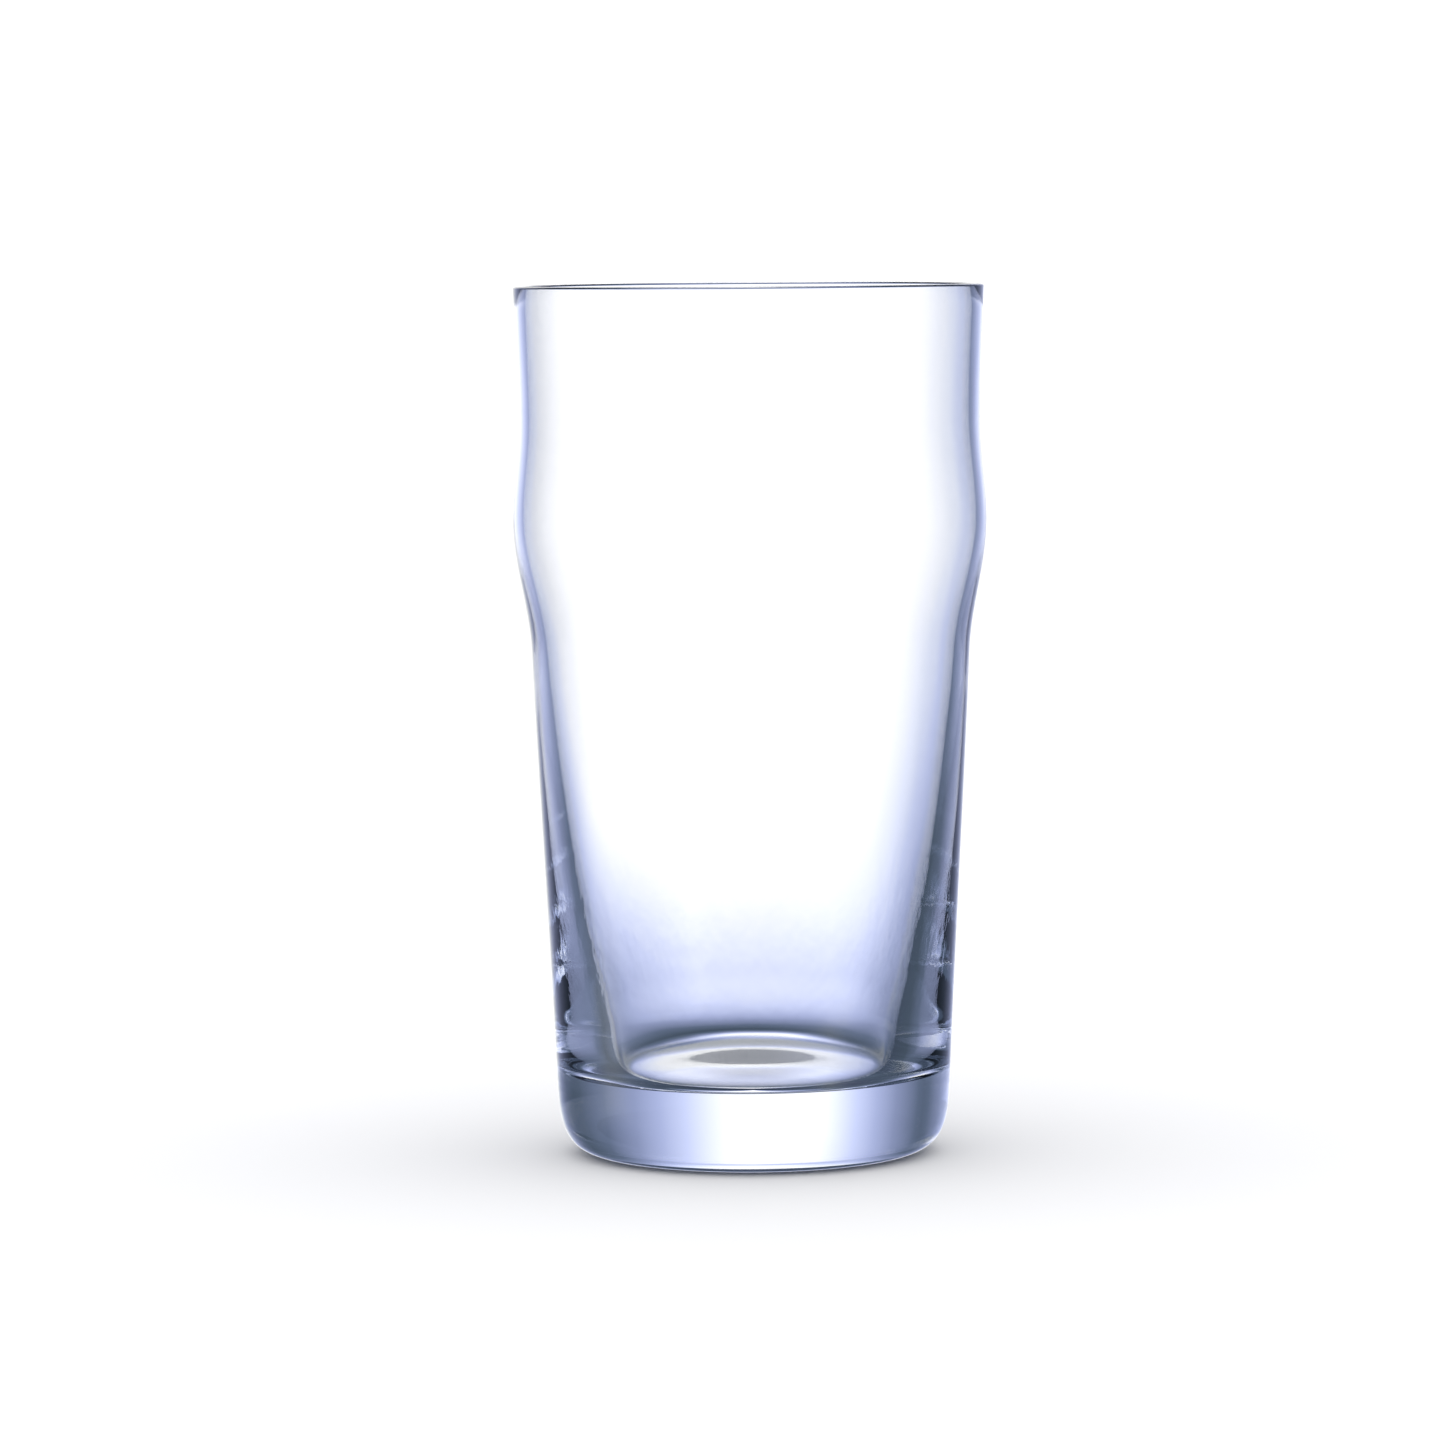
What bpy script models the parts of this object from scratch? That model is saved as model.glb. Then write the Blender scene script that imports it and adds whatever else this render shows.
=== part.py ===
"""A bulged pint glass: one turned piece of clear glass, standing on its foot.

Metres, +Z up along the axis. The origin is the centre of the plane it stands on.
"""

import math

import bpy

MM = 0.001

# Driving dimensions, in millimetres. A wall station is (height, radius, slope of radius over height).
HEIGHT = 157.4

LIP_RADIUS = 42.5
LIP_WALL = 2.0
LIP_ROUNDING = 0.5  # the depth of the fire-polished rounding, which takes the whole wall's width

NECK_HEIGHT = 132.9
NECK_RADIUS = 41.68
BULGE_HEIGHT = 115.0
BULGE_RADIUS = 42.8
WAIST_HEIGHT = 91.3
WAIST_RADIUS = 39.62
WAIST_SLOPE = 0.042
FOOT_RADIUS = 35.15  # where the tapered side would meet the standing plane
FOOT_SLOPE = 0.042
HEEL_HEIGHT = 12.5  # below this the side rounds in to the standing ring
HEEL_SIDE_PULL = 8.0
HEEL_FLOOR_PULL = 8.0

NECK_WALL = 1.99
BULGE_WALL = 1.90
WAIST_WALL = 2.71
INNER_WAIST_SLOPE = 0.08

BOWL_TOP_HEIGHT = 26.0  # below this the cavity rounds in to its floor
BOWL_TOP_RADIUS = 27.6
BOWL_TOP_SLOPE = 0.22
FLOOR_HEIGHT = 14.2
FLOOR_RADIUS = 22.5
BOWL_SIDE_PULL = 7.0  # how far the bowl's curve keeps the wall's direction
BOWL_FLOOR_PULL = 3.5  # and the floor's
DISH_RADIUS = 16.0  # the floor's middle is pressed into a shallow dish
DISH_DEPTH = 0.6

STANDING_RADIUS = 26.0
STANDING_WIDTH = 3.0
PUNT_DEPTH = 0.15  # the hollow under the foot, inside the standing ring

TURNED_STEPS = 72
MERGE_DISTANCE = 0.00001


def hermite(start, end, height):
    """The radius at a height on the smooth curve between two wall stations."""
    low, low_radius, low_slope = start
    high, high_radius, high_slope = end
    span = high - low
    t = (height - low) / span
    ease = t * t * (3 - 2 * t)
    bend = low_slope * t * (1 - t) ** 2 - high_slope * t * t * (1 - t)
    return low_radius + (high_radius - low_radius) * ease + span * bend


def wall(stations, counts):
    """Points up a wall through its stations, with counts[i] steps in stretch i."""
    points = []
    for start, end, count in zip(stations, stations[1:], counts):
        for step in range(count):
            height = start[0] + (end[0] - start[0]) * step / count
            points.append((hermite(start, end, height), height))
    points.append((stations[-1][1], stations[-1][0]))
    return points


def bezier(a, b, c, d, count):
    """Points on the cubic curve from a to d."""
    points = []
    for step in range(count + 1):
        t = step / count
        weights = ((1 - t) ** 3, 3 * t * (1 - t) ** 2, 3 * t * t * (1 - t), t**3)
        points.append(tuple(sum(w * p[i] for w, p in zip(weights, (a, b, c, d))) for i in range(2)))
    return points


def rounded_lip():
    """The lip, from the top of the inner wall over the rim to the top of the outer wall."""
    points = []
    for step in range(13):
        angle = math.pi * (1 - step / 12)
        radius = LIP_RADIUS - LIP_WALL / 2 + LIP_WALL / 2 * math.cos(angle)
        points.append((radius, HEIGHT - LIP_ROUNDING + LIP_ROUNDING * math.sin(angle)))
    return points


def floor_dish():
    """The cavity's floor from the axis to the edge of its dish."""
    points = []
    for step in range(7):
        share = step / 6
        depth = DISH_DEPTH * (0.5 + 0.5 * math.cos(math.pi * share))
        points.append((DISH_RADIUS * share, FLOOR_HEIGHT - depth))
    return points


def cavity(lip_start):
    """The inside, from the floor's centre on the axis up to the lip."""
    side_end = (BOWL_TOP_RADIUS - BOWL_TOP_SLOPE * BOWL_SIDE_PULL, BOWL_TOP_HEIGHT - BOWL_SIDE_PULL)
    bowl = bezier(
        (FLOOR_RADIUS, FLOOR_HEIGHT),
        (FLOOR_RADIUS + BOWL_FLOOR_PULL, FLOOR_HEIGHT),
        side_end,
        (BOWL_TOP_RADIUS, BOWL_TOP_HEIGHT),
        9,
    )
    stations = [
        (BOWL_TOP_HEIGHT, BOWL_TOP_RADIUS, BOWL_TOP_SLOPE),
        (WAIST_HEIGHT, WAIST_RADIUS - WAIST_WALL, INNER_WAIST_SLOPE),
        (BULGE_HEIGHT, BULGE_RADIUS - BULGE_WALL, 0.0),
        (NECK_HEIGHT, NECK_RADIUS - NECK_WALL, 0.0),
        (lip_start[1], lip_start[0], 0.04),
    ]
    return floor_dish() + bowl[:-1] + wall(stations, (4, 5, 4, 3))[:-1]


def outside(lip_end):
    """The outer side, from the lip down to the heel and across the standing ring."""
    heel_turn = HEEL_HEIGHT - HEEL_SIDE_PULL
    heel = bezier(
        (FOOT_RADIUS + FOOT_SLOPE * HEEL_HEIGHT, HEEL_HEIGHT),
        (FOOT_RADIUS + FOOT_SLOPE * heel_turn, heel_turn),
        (STANDING_RADIUS + HEEL_FLOOR_PULL, 0.0),
        (STANDING_RADIUS, 0.0),
        8,
    )
    stations = [
        (heel[0][1], heel[0][0], FOOT_SLOPE),
        (WAIST_HEIGHT, WAIST_RADIUS, WAIST_SLOPE),
        (BULGE_HEIGHT, BULGE_RADIUS, 0.0),
        (NECK_HEIGHT, NECK_RADIUS, 0.0),
        (lip_end[1], lip_end[0], 0.035),
    ]
    side = wall(stations, (3, 6, 4, 3))
    side.reverse()
    return side[1:] + heel[1:]


def punt():
    """The very shallow dome under the foot, from the standing ring in to the axis."""
    ring_edge = STANDING_RADIUS - STANDING_WIDTH
    points = []
    for share in (1.0, 0.8, 0.55, 0.28, 0.0):
        points.append((ring_edge * share, PUNT_DEPTH * (1 - share**2)))
    return points


def section():
    """The whole section in metres, from the floor's centre out, over the lip and down to the axis."""
    lip = rounded_lip()
    points = cavity(lip[0]) + lip + outside(lip[-1]) + punt()
    return [(radius * MM, height * MM) for radius, height in points]


def glass_material():
    """Clear soda-lime glass with a faint blue cast."""
    material = bpy.data.materials.new("clear_glass")
    material.use_nodes = True
    shader = material.node_tree.nodes["Principled BSDF"]
    shader.inputs["Base Color"].default_value = (0.93, 0.95, 1.0, 1.0)
    shader.inputs["Roughness"].default_value = 0.02
    shader.inputs["Metallic"].default_value = 0.0
    shader.inputs["IOR"].default_value = 1.52
    shader.inputs["Transmission Weight"].default_value = 1.0
    return material


def turned(name, points, collection):
    """A closed turned solid: the section swept round Z by a Screw modifier."""
    mesh = bpy.data.meshes.new(name)
    edges = [(i, i + 1) for i in range(len(points) - 1)]
    mesh.from_pydata([(radius, 0.0, height) for radius, height in points], edges, [])
    piece = bpy.data.objects.new(name, mesh)
    collection.objects.link(piece)
    screw = piece.modifiers.new("turn", "SCREW")
    screw.axis = "Z"
    screw.angle = math.tau
    screw.steps = TURNED_STEPS
    screw.render_steps = TURNED_STEPS
    screw.use_merge_vertices = True
    screw.merge_threshold = MERGE_DISTANCE
    screw.use_smooth_shade = True
    return piece


def main():
    for old in list(bpy.data.objects):
        bpy.data.objects.remove(old, do_unlink=True)
    collection = bpy.data.collections.new("pint_glass")
    bpy.context.scene.collection.children.link(collection)
    glass = turned("glass_body", section(), collection)
    glass.data.materials.append(glass_material())


main()
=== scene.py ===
"""The looks of a bulged pint glass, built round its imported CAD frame.

Metres, +Z up, the glass standing on z = 0. Section sizes are in millimetres and turned into metres by MM.
"""

import math

import bpy
import numpy as np
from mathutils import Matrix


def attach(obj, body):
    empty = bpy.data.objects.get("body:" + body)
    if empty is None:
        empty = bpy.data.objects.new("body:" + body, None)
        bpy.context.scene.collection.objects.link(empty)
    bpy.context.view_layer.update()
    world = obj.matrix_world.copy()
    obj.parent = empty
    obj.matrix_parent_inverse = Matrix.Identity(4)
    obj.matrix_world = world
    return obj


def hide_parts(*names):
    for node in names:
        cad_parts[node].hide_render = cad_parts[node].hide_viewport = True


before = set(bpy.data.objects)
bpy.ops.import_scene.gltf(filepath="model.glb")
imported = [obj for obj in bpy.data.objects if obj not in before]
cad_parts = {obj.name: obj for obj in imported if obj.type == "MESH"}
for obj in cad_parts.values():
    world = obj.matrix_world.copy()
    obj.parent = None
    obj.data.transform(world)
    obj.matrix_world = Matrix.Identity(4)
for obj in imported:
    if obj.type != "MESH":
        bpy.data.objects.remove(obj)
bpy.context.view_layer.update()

MM = 0.001

# The section, as the CAD has it: a wall station is (height, radius, slope of radius over height).
HEIGHT = 157.4
LIP_RADIUS = 42.5
LIP_WALL = 2.0
LIP_ROUNDING = 0.5
NECK_HEIGHT = 132.9
NECK_RADIUS = 41.68
BULGE_HEIGHT = 115.0
BULGE_RADIUS = 42.8
WAIST_HEIGHT = 91.3
WAIST_RADIUS = 39.62
WAIST_SLOPE = 0.042
FOOT_RADIUS = 35.15
FOOT_SLOPE = 0.042
HEEL_HEIGHT = 12.5
HEEL_SIDE_PULL = 8.0
HEEL_FLOOR_PULL = 8.0
NECK_WALL = 1.99
BULGE_WALL = 1.90
WAIST_WALL = 2.71
INNER_WAIST_SLOPE = 0.08
BOWL_TOP_HEIGHT = 26.0
BOWL_TOP_RADIUS = 27.6
BOWL_TOP_SLOPE = 0.22
FLOOR_HEIGHT = 14.2
FLOOR_RADIUS = 22.5
BOWL_SIDE_PULL = 7.0
BOWL_FLOOR_PULL = 3.5
STANDING_RADIUS = 26.0
STANDING_WIDTH = 3.0
PUNT_DEPTH = 0.15
DISH_RADIUS = 16.0
DISH_DEPTH = 0.6

TURNED_STEPS = 480

# The glass. It bends light as soda-lime glass does and is faintly blue through its thickness.
GLASS_IOR = 1.52
GLASS_TINT = (0.80, 0.88, 1.0, 1.0)
GLASS_TINT_DENSITY = 3.0
# The long waves and the chill marks of pressing, in millimetres, and the surface's slight haze.
WAVE_DEPTH = 0.03
CHILL_DEPTH = 0.025
HAZE = 0.01
# Each pattern's drawing-out along the height, its scale and its detail.
WAVE_PATTERN = (0.3, 110.0, 1.0)
CHILL_PATTERN = (0.45, 420.0, 2.0)
HAZE_PATTERN = (0.6, 260.0, 3.0)
# The chill marks lie in the thick lower wall: where they start and end, and how far they take to come and go.
CHILL_LOW = 27.0
CHILL_RISE = 5.0
CHILL_HIGH = 60.0
CHILL_FADE = 20.0
CHILL_SOFTNESS = 0.5

# The points along each part of the section.
LIP_STEPS = 24
BOWL_STEPS = 26
INNER_WALL_STEPS = (12, 12, 8, 6)
OUTER_WALL_STEPS = (10, 14, 8, 6)
HEEL_STEPS = 26
PUNT_STEPS = 12
FLOOR_STEPS = 24
INNER_LIP_SLOPE = 0.04
OUTER_LIP_SLOPE = 0.035


def hermite(start, end, height):
    """The radius at a height on the smooth curve between two wall stations."""
    low, low_radius, low_slope = start
    high, high_radius, high_slope = end
    span = high - low
    t = (height - low) / span
    ease = t * t * (3 - 2 * t)
    bend = low_slope * t * (1 - t) ** 2 - high_slope * t * t * (1 - t)
    return low_radius + (high_radius - low_radius) * ease + span * bend


def wall(stations, counts):
    """Points up a wall through its stations, with a number of steps for each span."""
    points = []
    for start, end, count in zip(stations, stations[1:], counts):
        for step in range(count):
            height = start[0] + (end[0] - start[0]) * step / count
            points.append((hermite(start, end, height), height))
    points.append((stations[-1][1], stations[-1][0]))
    return points


def bezier(a, b, c, d, count):
    """Points along a cubic curve, both ends included."""
    points = []
    for step in range(count + 1):
        t = step / count
        weights = ((1 - t) ** 3, 3 * t * (1 - t) ** 2, 3 * t * t * (1 - t), t**3)
        points.append(tuple(sum(w * p[i] for w, p in zip(weights, (a, b, c, d))) for i in range(2)))
    return points


def punt_height(radius, edge):
    """The hollow under the foot, deepest on the axis."""
    return PUNT_DEPTH * (1 - (radius / edge) ** 2)


def floor_height(radius):
    """The cavity's floor, with its shallow dish."""
    share = min(1.0, radius / DISH_RADIUS)
    return FLOOR_HEIGHT - DISH_DEPTH * (0.5 + 0.5 * math.cos(math.pi * share))


def section():
    """The whole section in millimetres, from the floor's centre out, over the lip and down to the axis."""
    lip = []
    for step in range(LIP_STEPS + 1):
        angle = math.pi * (1 - step / LIP_STEPS)
        across = LIP_RADIUS - LIP_WALL / 2 + LIP_WALL / 2 * math.cos(angle)
        lip.append((across, HEIGHT - LIP_ROUNDING + LIP_ROUNDING * math.sin(angle)))
    bowl = bezier(
        (FLOOR_RADIUS, FLOOR_HEIGHT),
        (FLOOR_RADIUS + BOWL_FLOOR_PULL, FLOOR_HEIGHT),
        (BOWL_TOP_RADIUS - BOWL_TOP_SLOPE * BOWL_SIDE_PULL, BOWL_TOP_HEIGHT - BOWL_SIDE_PULL),
        (BOWL_TOP_RADIUS, BOWL_TOP_HEIGHT),
        BOWL_STEPS,
    )
    inner = wall(
        [
            (BOWL_TOP_HEIGHT, BOWL_TOP_RADIUS, BOWL_TOP_SLOPE),
            (WAIST_HEIGHT, WAIST_RADIUS - WAIST_WALL, INNER_WAIST_SLOPE),
            (BULGE_HEIGHT, BULGE_RADIUS - BULGE_WALL, 0.0),
            (NECK_HEIGHT, NECK_RADIUS - NECK_WALL, 0.0),
            (lip[0][1], lip[0][0], INNER_LIP_SLOPE),
        ],
        INNER_WALL_STEPS,
    )
    heel = bezier(
        (FOOT_RADIUS + FOOT_SLOPE * HEEL_HEIGHT, HEEL_HEIGHT),
        (FOOT_RADIUS + FOOT_SLOPE * (HEEL_HEIGHT - HEEL_SIDE_PULL), HEEL_HEIGHT - HEEL_SIDE_PULL),
        (STANDING_RADIUS + HEEL_FLOOR_PULL, 0.0),
        (STANDING_RADIUS, 0.0),
        HEEL_STEPS,
    )
    outer = wall(
        [
            (heel[0][1], heel[0][0], FOOT_SLOPE),
            (WAIST_HEIGHT, WAIST_RADIUS, WAIST_SLOPE),
            (BULGE_HEIGHT, BULGE_RADIUS, 0.0),
            (NECK_HEIGHT, NECK_RADIUS, 0.0),
            (lip[-1][1], lip[-1][0], OUTER_LIP_SLOPE),
        ],
        OUTER_WALL_STEPS,
    )
    outer.reverse()
    edge = STANDING_RADIUS - STANDING_WIDTH
    punt = []
    for step in range(PUNT_STEPS, -1, -1):
        radius = edge * step / PUNT_STEPS
        punt.append((radius, punt_height(radius, edge)))
    floor = []
    for step in range(FLOOR_STEPS):
        radius = FLOOR_RADIUS * step / FLOOR_STEPS
        floor.append((radius, floor_height(radius)))
    return floor + bowl[:-1] + inner[:-1] + lip + outer[1:] + heel[1:] + punt


def turned_mesh(name, points):
    """A closed mesh of the section turned round Z, its two ends on the axis."""
    angle = np.arange(TURNED_STEPS) * math.tau / TURNED_STEPS
    rows = []
    for radius, height in points[1:-1]:
        heights = np.full(TURNED_STEPS, height)
        rows.append(np.column_stack((radius * np.cos(angle), radius * np.sin(angle), heights)))
    ends = [(0.0, 0.0, points[0][1]), (0.0, 0.0, points[-1][1])]
    verts = np.vstack(rows + [ends]) * MM
    first, last = len(verts) - 2, len(verts) - 1
    here = np.arange(TURNED_STEPS)
    after = (here + 1) % TURNED_STEPS
    faces = []
    for row in range(len(rows) - 1):
        a, b = row * TURNED_STEPS, (row + 1) * TURNED_STEPS
        faces.extend(np.column_stack((a + here, b + here, b + after, a + after)).tolist())
    top = (len(rows) - 1) * TURNED_STEPS
    faces.extend(np.column_stack((np.full(TURNED_STEPS, first), here, after)).tolist())
    faces.extend(np.column_stack((np.full(TURNED_STEPS, last), top + after, top + here)).tolist())
    mesh = bpy.data.meshes.new(name)
    mesh.from_pydata(verts.tolist(), [], faces)
    mesh.shade_smooth()
    return mesh


class Nodes:
    """Short names for making a tree's nodes."""

    def __init__(self, tree):
        self.tree = tree

    def add(self, kind, **settings):
        node = self.tree.nodes.new(kind)
        for key, value in settings.items():
            setattr(node, key, value)
        return node

    def plug(self, value, socket):
        if isinstance(value, bpy.types.NodeSocket):
            self.tree.links.new(value, socket)
        else:
            socket.default_value = value

    def math(self, operation, *values):
        node = self.add("ShaderNodeMath", operation=operation)
        for value, socket in zip(values, node.inputs):
            self.plug(value, socket)
        return node.outputs["Value"]

    def vector(self, operation, *values):
        node = self.add("ShaderNodeVectorMath", operation=operation)
        for value, socket in zip(values, node.inputs):
            self.plug(value, socket)
        return node


def ripple(n, place, stretch, scale, detail):
    """Noise drawn out along the glass's height, about -0.5 to 0.5."""
    stretched = n.vector("MULTIPLY", place, (1.0, 1.0, stretch)).outputs["Vector"]
    noise = n.add("ShaderNodeTexNoise")
    noise.inputs["Scale"].default_value = scale
    noise.inputs["Detail"].default_value = detail
    n.plug(stretched, noise.inputs["Vector"])
    return n.math("SUBTRACT", noise.outputs["Fac"], 0.5)


def glass_material():
    """Clear glass, with its relief, its haze and its faint tint."""
    material = bpy.data.materials.new("clear_glass")
    material.use_nodes = True
    tree = material.node_tree
    n = Nodes(tree)
    shader = tree.nodes["Principled BSDF"]
    shader.inputs["Base Color"].default_value = (1.0, 1.0, 1.0, 1.0)
    shader.inputs["IOR"].default_value = GLASS_IOR
    shader.inputs["Transmission Weight"].default_value = 1.0
    place = n.add("ShaderNodeTexCoord").outputs["Object"]
    split = n.add("ShaderNodeSeparateXYZ")
    n.plug(place, split.inputs["Vector"])
    height = n.math("DIVIDE", split.outputs["Z"], MM)
    rise = n.math("DIVIDE", n.math("SUBTRACT", height, CHILL_LOW), CHILL_RISE)
    fade = n.math("DIVIDE", n.math("SUBTRACT", CHILL_HIGH, height), CHILL_FADE)
    low_wall = n.math("MINIMUM", n.math("SMOOTH_MIN", rise, 1.0, CHILL_SOFTNESS), fade)
    low_wall = n.math("MAXIMUM", low_wall, 0.0)
    waves = n.math("MULTIPLY", ripple(n, place, *WAVE_PATTERN), WAVE_DEPTH)
    chill = n.math("MULTIPLY", ripple(n, place, *CHILL_PATTERN), CHILL_DEPTH)
    relief = n.math("MULTIPLY_ADD", chill, low_wall, waves)
    bump = n.add("ShaderNodeBump")
    bump.inputs["Distance"].default_value = MM
    n.plug(relief, bump.inputs["Height"])
    n.plug(bump.outputs["Normal"], shader.inputs["Normal"])
    haze = n.math("MULTIPLY_ADD", ripple(n, place, *HAZE_PATTERN), HAZE, HAZE)
    n.plug(haze, shader.inputs["Roughness"])
    inside = n.add("ShaderNodeVolumeAbsorption")
    inside.inputs["Color"].default_value = GLASS_TINT
    inside.inputs["Density"].default_value = GLASS_TINT_DENSITY
    n.plug(inside.outputs["Volume"], tree.nodes["Material Output"].inputs["Volume"])
    return material


def make_glass():
    """The one piece, standing in for the frame's node."""
    piece = bpy.data.objects.new("pint_glass", turned_mesh("pint_glass", section()))
    bpy.context.scene.collection.objects.link(piece)
    piece.data.materials.append(glass_material())
    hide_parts("glass_body")
    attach(piece, "root")
    return piece


# ---- Studio ----

# The white panels, in degrees: azimuth, fall-off sideways, dimming at the middle, lowest full height and the
# fall-off below it, highest full height and the fall-off above it. A fall-off is degrees of dimming for each
# degree past the edge.
PANELS = (
    (4.0, 1.0, 0.0, -8.5, 2.0, 25.0, 4.0),
    (90.0, 1.0, 5.0, -9.0, 1.8, 14.0, 3.0),
    (225.0, 1.0, 8.0, -26.0, 1.8, 8.0, 2.0),
    (4.0, 1.0, 0.0, -85.0, 1.0, -52.0, 4.0),
)
# A pale card low behind the glass as it is seen from the front right, and how far its light spreads. It shows
# only to light that comes straight through the glass, and not to light that has been reflected.
FILL = (50.0, 1.5, 0.0, -40.0, 1.0, -20.0, 2.5)
FILL_COLOUR = (0.74, 0.77, 0.84)
FILL_SPREAD = 32.0
PANEL_NARROWING = 0.01
PANEL_ROUNDING = 6.0
PANEL_STRENGTH = 1.3
# What the camera and diffuse light see in place of the panels.
PLAIN_COLOUR = (1.0, 1.0, 1.0, 1.0)
PLAIN_STRENGTH = 1.25
# The light at each angle from a panel's middle, as a share of its strength.
RAMP = (
    (0.0, (1.0, 1.0, 1.0)),
    (9.0, (0.92, 0.93, 0.96)),
    (13.0, (0.75, 0.79, 0.93)),
    (18.0, (0.54, 0.59, 0.83)),
    (24.0, (0.36, 0.405, 0.627)),
    (31.0, (0.22, 0.256, 0.41)),
    (42.0, (0.094, 0.123, 0.19)),
    (56.0, (0.05, 0.07, 0.1)),
    (90.0, (0.033, 0.044, 0.072)),
)
RAMP_SPAN = 90.0
# Counts of reflections below this have not been reflected at all.
FIRST_REFLECTION = 0.5

FLOOR_DISC_RADIUS = 6.0
FLOOR_DISC_SIDES = 128
FLOOR_COLOUR = (0.93, 0.93, 0.94, 1.0)
FLOOR_ROUGHNESS = 0.8

# The camera: its place in metres, and how far it looks down, rolls and turns, in degrees.
CAMERA_PLACE = (0.0, -1.159, 0.1688)
CAMERA_DOWN_DEG = 4.47
CAMERA_ROLL_DEG = 0.42
CAMERA_TURN_DEG = 0.224
CAMERA_LENS = 159.8
CAMERA_SENSOR = 36.0

# Light passes many faces of clear glass before it leaves.
MAX_BOUNCES = 32
GLOSSY_BOUNCES = 16


def panel_distance(n, level, height, panel):
    """How far a direction is from a panel, in degrees of dimming."""
    azimuth, fall_sideways, dimming, low, fall_below, high, fall_above = panel
    a = math.radians(azimuth)
    facing = n.vector("DOT_PRODUCT", level.outputs["Vector"], (-math.sin(a), math.cos(a), 0.0))
    facing = n.math("MINIMUM", facing.outputs["Value"], 1.0)
    sideways = n.math("MULTIPLY", n.math("ARCCOSINE", facing), 180 / math.pi)
    below = n.math("MAXIMUM", n.math("SUBTRACT", low, height), 0.0)
    above = n.math("MAXIMUM", n.math("SUBTRACT", height, high), 0.0)
    sideways = n.math("MULTIPLY", sideways, n.math("MULTIPLY_ADD", below, PANEL_NARROWING, fall_sideways))
    edge = n.math("SMOOTH_MAX", sideways, n.math("MULTIPLY", below, fall_below), PANEL_ROUNDING)
    return n.math("ADD", n.math("MULTIPLY_ADD", above, fall_above, dimming), edge)


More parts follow.
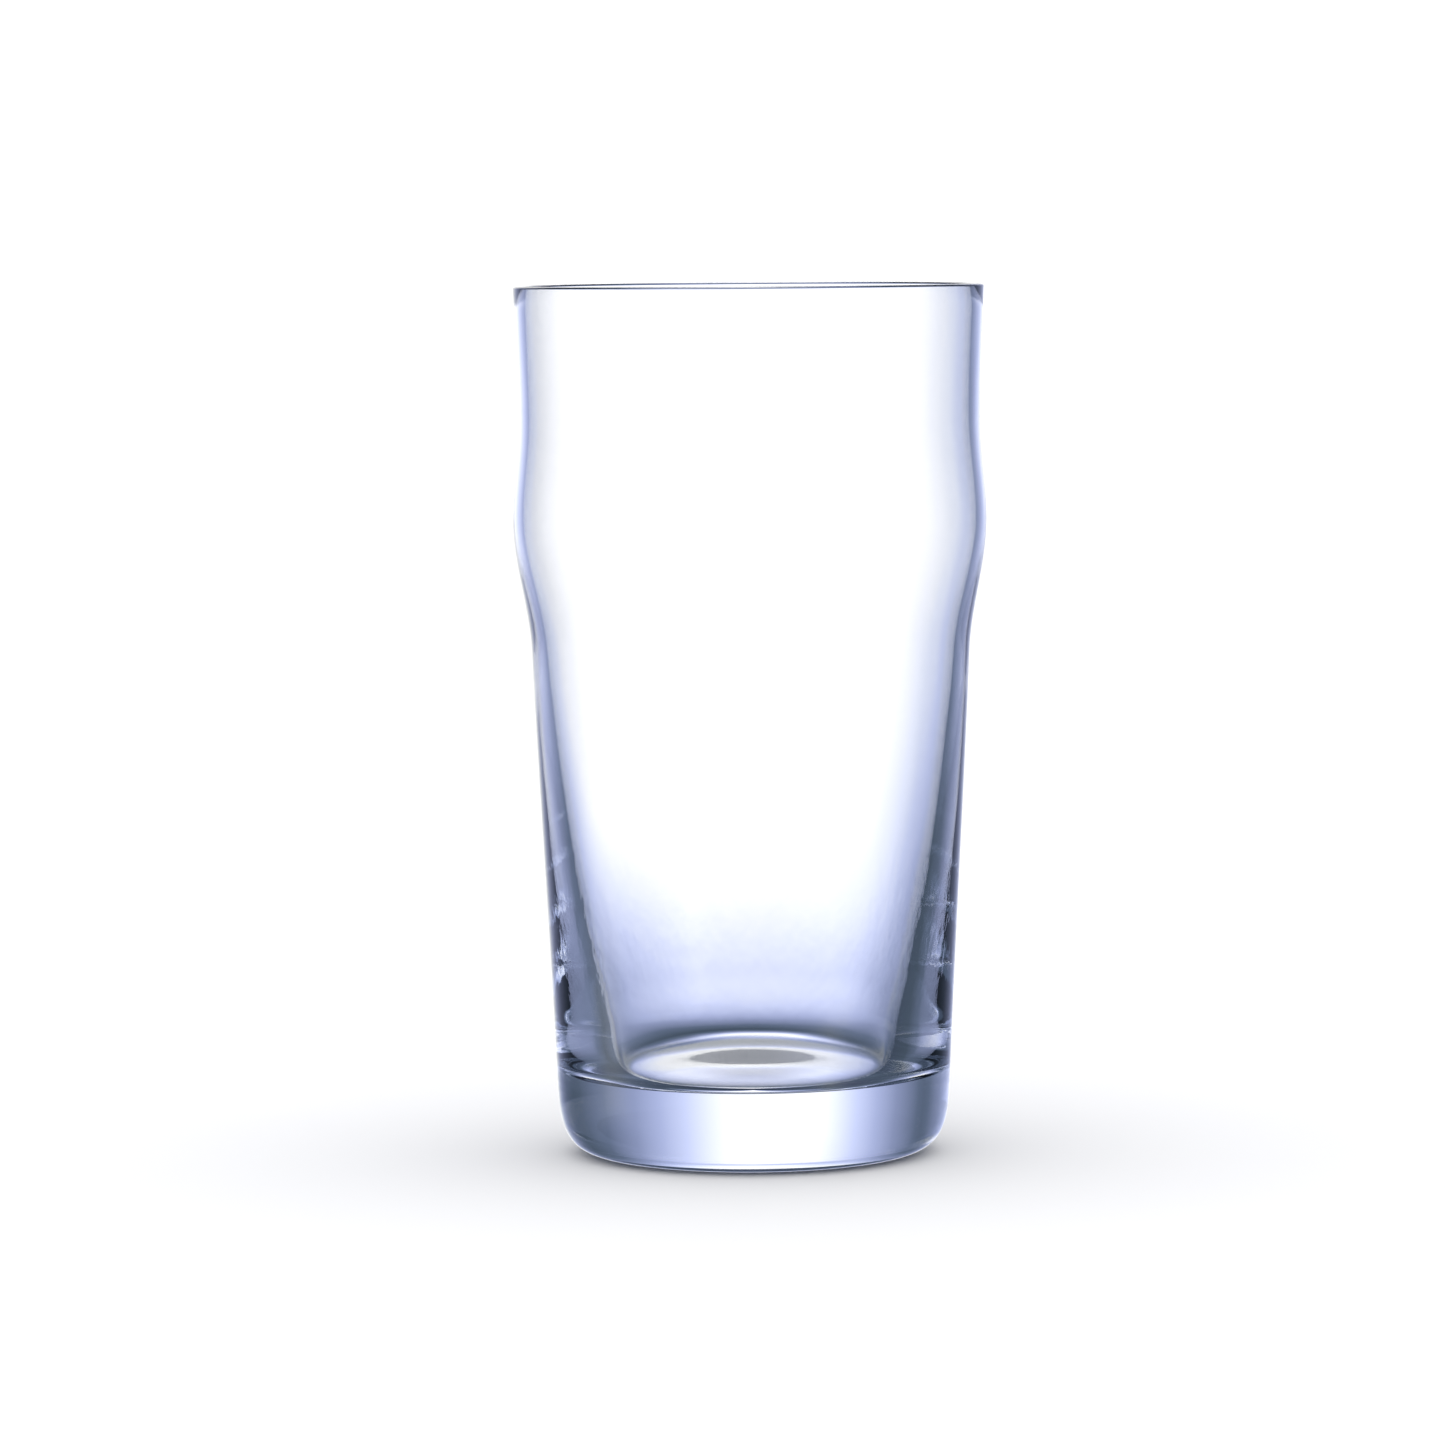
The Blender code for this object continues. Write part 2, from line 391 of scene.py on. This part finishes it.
def make_world():
    """The studio: panels for light that has met the glass, plain white for the rest."""
    world = bpy.data.worlds.new("studio")
    bpy.context.scene.world = world
    world.use_nodes = True
    tree = world.node_tree
    tree.nodes.clear()
    n = Nodes(tree)
    direction = n.vector("NORMALIZE", n.add("ShaderNodeTexCoord").outputs["Generated"]).outputs["Vector"]
    level = n.vector("NORMALIZE", n.vector("MULTIPLY", direction, (1.0, 1.0, 0.0)).outputs["Vector"])
    rise = n.vector("DOT_PRODUCT", direction, (0.0, 0.0, 1.0)).outputs["Value"]
    height = n.math("MULTIPLY", n.math("ARCSINE", rise), 180 / math.pi)
    away = panel_distance(n, level, height, PANELS[0])
    for panel in PANELS[1:]:
        away = n.math("MINIMUM", away, panel_distance(n, level, height, panel))
    fill = n.math("DIVIDE", panel_distance(n, level, height, FILL), FILL_SPREAD)
    fill = n.math("MAXIMUM", n.math("SUBTRACT", 1.0, fill), 0.0)
    path = n.add("ShaderNodeLightPath")
    fill = n.math("MULTIPLY", fill, n.math("LESS_THAN", path.outputs["Glossy Depth"], FIRST_REFLECTION))
    card = n.vector("SCALE", FILL_COLOUR)
    n.plug(fill, card.inputs["Scale"])
    ramp = n.add("ShaderNodeValToRGB")
    ramp.color_ramp.interpolation = "LINEAR"
    while len(ramp.color_ramp.elements) < len(RAMP):
        ramp.color_ramp.elements.new(0.5)
    for element, (angle, colour) in zip(ramp.color_ramp.elements, RAMP):
        element.position = angle / RAMP_SPAN
        element.color = (*colour, 1.0)
    n.plug(n.math("DIVIDE", away, RAMP_SPAN), ramp.inputs["Fac"])
    studio = n.add("ShaderNodeBackground")
    studio.inputs["Strength"].default_value = PANEL_STRENGTH
    light = n.vector("MAXIMUM", ramp.outputs["Color"], card.outputs["Vector"])
    n.plug(light.outputs["Vector"], studio.inputs["Color"])
    plain = n.add("ShaderNodeBackground")
    plain.inputs["Color"].default_value = PLAIN_COLOUR
    plain.inputs["Strength"].default_value = PLAIN_STRENGTH
    bare = n.math("MAXIMUM", path.outputs["Is Camera Ray"], path.outputs["Is Diffuse Ray"])
    mix = n.add("ShaderNodeMixShader")
    n.plug(bare, mix.inputs["Fac"])
    tree.links.new(studio.outputs["Background"], mix.inputs[1])
    tree.links.new(plain.outputs["Background"], mix.inputs[2])
    tree.links.new(mix.outputs["Shader"], n.add("ShaderNodeOutputWorld").inputs["Surface"])


def make_floor():
    """The pale floor, which light inside the glass does not see."""
    bpy.ops.mesh.primitive_circle_add(
        vertices=FLOOR_DISC_SIDES,
        radius=FLOOR_DISC_RADIUS,
        fill_type="NGON",
    )
    floor = bpy.context.object
    floor.name = "floor"
    floor.visible_transmission = False
    floor.visible_glossy = False
    material = bpy.data.materials.new("pale_floor")
    material.use_nodes = True
    shader = material.node_tree.nodes["Principled BSDF"]
    shader.inputs["Base Color"].default_value = FLOOR_COLOUR
    shader.inputs["Roughness"].default_value = FLOOR_ROUGHNESS
    shader.inputs["Specular IOR Level"].default_value = 0.0
    floor.data.materials.append(material)


def make_camera():
    """The photograph's viewing angle."""
    data = bpy.data.cameras.new("camera")
    camera = bpy.data.objects.new("camera", data)
    bpy.context.scene.collection.objects.link(camera)
    data.sensor_width = CAMERA_SENSOR
    data.lens = CAMERA_LENS
    camera.location = CAMERA_PLACE
    turns = (90 - CAMERA_DOWN_DEG, CAMERA_ROLL_DEG, CAMERA_TURN_DEG)
    camera.rotation_euler = [math.radians(turn) for turn in turns]
    bpy.context.scene.camera = camera


def set_scene():
    """Plain colours, and enough bounces for the glass."""
    scene = bpy.context.scene
    scene.view_settings.view_transform = "Standard"
    scene.cycles.max_bounces = MAX_BOUNCES
    scene.cycles.transmission_bounces = MAX_BOUNCES
    scene.cycles.glossy_bounces = GLOSSY_BOUNCES


make_glass()
make_world()
make_floor()
make_camera()
set_scene()
